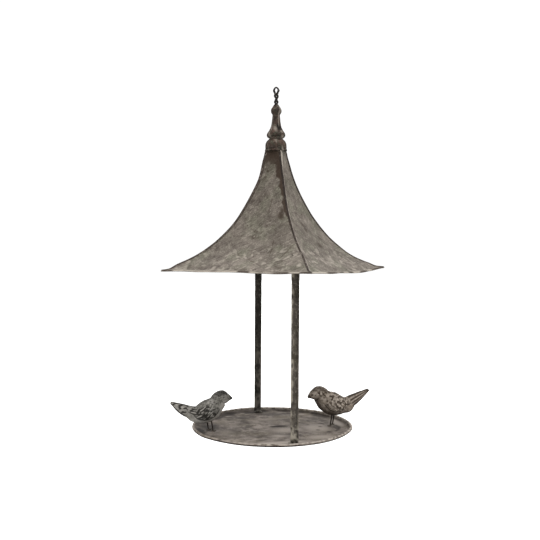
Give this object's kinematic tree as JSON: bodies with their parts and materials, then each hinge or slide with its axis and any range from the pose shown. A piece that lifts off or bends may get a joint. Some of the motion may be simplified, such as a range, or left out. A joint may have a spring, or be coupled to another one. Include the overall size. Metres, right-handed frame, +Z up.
{
  "type": "hanging platform bird feeder",
  "caption": "Hanging bird feeder: concave pagoda roof of sheet metal over a shallow round seed dish on flat-bar posts, with cast birds facing each other and a chain on top.",
  "frame": {"origin": "inside the crown of the top chain link, where the feeder hangs", "axes": "+Z up; X along the line of the two birds; Y along the line of the two posts, with the front at -Y"},
  "size_m": [0.4038, 0.4038, 0.5964],
  "materials": {
    "roof_sheet": "aged zinc grey, matt, with brown-black patches and scratches",
    "roof_seam": "dark lapped seam with a worn light edge",
    "dish_sheet": "aged zinc grey, matt, darker in the corner under the rim",
    "flat_bar": "dark brown-grey, worn light on the edges",
    "finial_casting": "dark brown, slightly satin, with grey rubbed high spots",
    "bird_casting": "grey-brown, dark in the feather lines",
    "bird_legs": "dark brown-grey",
    "fixings": "dark brown-grey",
    "chain_wire": "blackened, dull"
  },
  "bodies": {
    "hanger_link": {"hanger_link": "chain_wire"},
    "lower_link": {"lower_link": "chain_wire"},
    "feeder": {"tie_rod": "chain_wire", "tie_rod_washer": "fixings", "tie_rod_nut": "fixings", "finial_spindle": "finial_casting", "finial_cap": "finial_casting", "apex_plate": "fixings", "roof_panel_front_left": "roof_sheet", "roof_panel_front_right": "roof_sheet", "roof_panel_rear_right": "roof_sheet", "roof_panel_rear_left": "roof_sheet", "hip_seam_front": "roof_seam", "hip_seam_right": "roof_seam", "hip_seam_rear": "roof_seam", "hip_seam_left": "roof_seam", "cross_bar": "flat_bar", "cross_bar_rivets": "fixings", "post_front": "flat_bar", "post_rear": "flat_bar", "post_foot_rivets": "fixings", "dish": "dish_sheet", "dish_rim_wire": "fixings", "bird_left": "bird_casting", "bird_right": "bird_casting", "bird_left_legs": "bird_legs", "bird_right_legs": "bird_legs"}
  },
  "joints": [
    {"name": "lower_link_swing", "type": "hinge", "parent": "hanger_link", "child": "lower_link", "pos_m": [0, 0, -0.01325], "axis": [1, 0, 0], "range_deg": [-60, 60]},
    {"name": "feeder_swing", "type": "hinge", "parent": "lower_link", "child": "feeder", "pos_m": [0, 0, -0.02495], "axis": [0, 1, 0], "range_deg": [-60, 60]}
  ]
}
